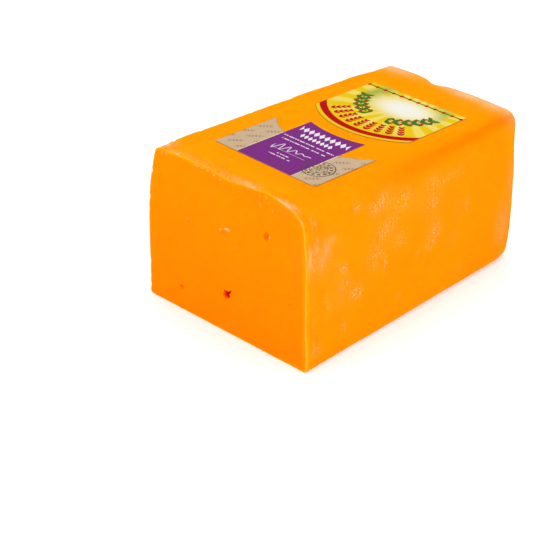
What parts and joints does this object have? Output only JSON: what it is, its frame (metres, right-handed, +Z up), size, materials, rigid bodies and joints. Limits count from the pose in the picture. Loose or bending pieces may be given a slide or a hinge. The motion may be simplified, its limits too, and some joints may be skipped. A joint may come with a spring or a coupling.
{
  "type": "mimolette",
  "caption": "Piece of a mimolette loaf: an orange block of pressed cheese with a flat cut front, small eyes in the cut, and die-cut paper labels on its top.",
  "frame": {"origin": "middle of the underside, at the centre of the rectangle that the block covers", "axes": "+Z up, +Y along the loaf away from the cut, +X to the right of someone who faces the cut"},
  "size_m": [0.1206, 0.192, 0.0969],
  "materials": {
    "cheese": "smooth, waxy, slightly translucent pressed cheese",
    "yellow_paper": "printed semi-matt sticker paper",
    "kraft_paper": "uncoated kraft paper with a printed purple panel"
  },
  "bodies": {
    "root": {"cheese_block": "cheese", "label_rear": "yellow_paper", "label_front": "kraft_paper"}
  },
  "joints": []
}
